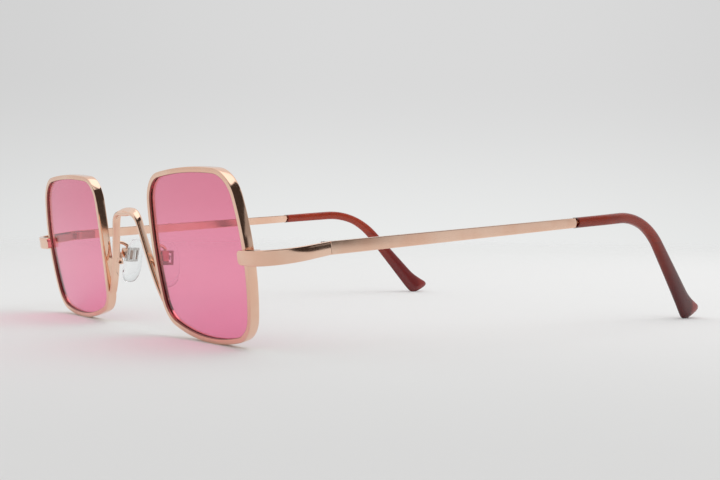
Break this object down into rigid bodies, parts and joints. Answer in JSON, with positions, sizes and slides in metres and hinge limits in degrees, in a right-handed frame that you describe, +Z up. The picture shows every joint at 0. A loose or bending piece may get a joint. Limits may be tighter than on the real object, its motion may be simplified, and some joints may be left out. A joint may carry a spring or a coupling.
{
  "type": "sunglasses",
  "caption": "Small square metal sunglasses with tinted lenses, a high arched wire bridge, rocking nose pads and folding temples with curved sleeves.",
  "frame": {"origin": "middle of the footprint, on the surface that the open frame stands on", "axes": "+X to the wearer's left, +Y back towards the ears, +Z up; the lenses face -Y"},
  "size_m": [0.131, 0.1534, 0.0388],
  "materials": {
    "gold_metal": "polished rose gold plating",
    "hinge_metal": "satin rose gold plating",
    "screw_steel": "plain turned steel",
    "tip_plastic": "glossy, slightly see-through",
    "pad_silicone": "clear and soft",
    "lens_plastic": "clear tint, polished"
  },
  "bodies": {
    "front": {"rim_left": "gold_metal", "rim_right": "gold_metal", "lens_left": "lens_plastic", "lens_right": "lens_plastic", "bridge": "gold_metal", "end_piece_left": "gold_metal", "end_piece_right": "gold_metal", "rim_lock_left": "hinge_metal", "rim_lock_right": "hinge_metal", "rim_lock_screw_left": "screw_steel", "rim_lock_screw_right": "screw_steel", "front_hinge_left": "hinge_metal", "front_hinge_right": "hinge_metal", "hinge_screw_left": "screw_steel", "hinge_screw_right": "screw_steel", "pad_arm_left": "gold_metal", "pad_arm_right": "gold_metal", "pad_box_left": "hinge_metal", "pad_box_right": "hinge_metal", "pad_screw_left": "screw_steel", "pad_screw_right": "screw_steel"},
    "left_temple": {"temple_left": "gold_metal", "temple_tip_left": "tip_plastic", "temple_hinge_left": "hinge_metal"},
    "right_temple": {"temple_right": "gold_metal", "temple_tip_right": "tip_plastic", "temple_hinge_right": "hinge_metal"},
    "left_pad": {"nose_pad_left": "pad_silicone", "pad_core_left": "screw_steel"},
    "right_pad": {"nose_pad_right": "pad_silicone", "pad_core_right": "screw_steel"}
  },
  "joints": [
    {"name": "temple_left_fold", "type": "hinge", "parent": "front", "child": "left_temple", "pos_m": [0.06259, -0.06005, 0.0216], "axis": [0, 0, 1], "range_deg": [0, 90]},
    {"name": "temple_right_fold", "type": "hinge", "parent": "front", "child": "right_temple", "pos_m": [-0.06259, -0.06005, 0.0216], "axis": [0, 0, -1], "range_deg": [0, 82]},
    {"name": "pad_left_rock", "type": "hinge", "parent": "front", "child": "left_pad", "pos_m": [0.01099, -0.06874, 0.01816], "axis": [0.5, 0.866, 0], "range_deg": [-8, 8]},
    {"name": "pad_right_rock", "type": "hinge", "parent": "front", "child": "right_pad", "pos_m": [-0.01099, -0.06874, 0.01816], "axis": [-0.5, 0.866, 0], "range_deg": [-8, 8]}
  ]
}
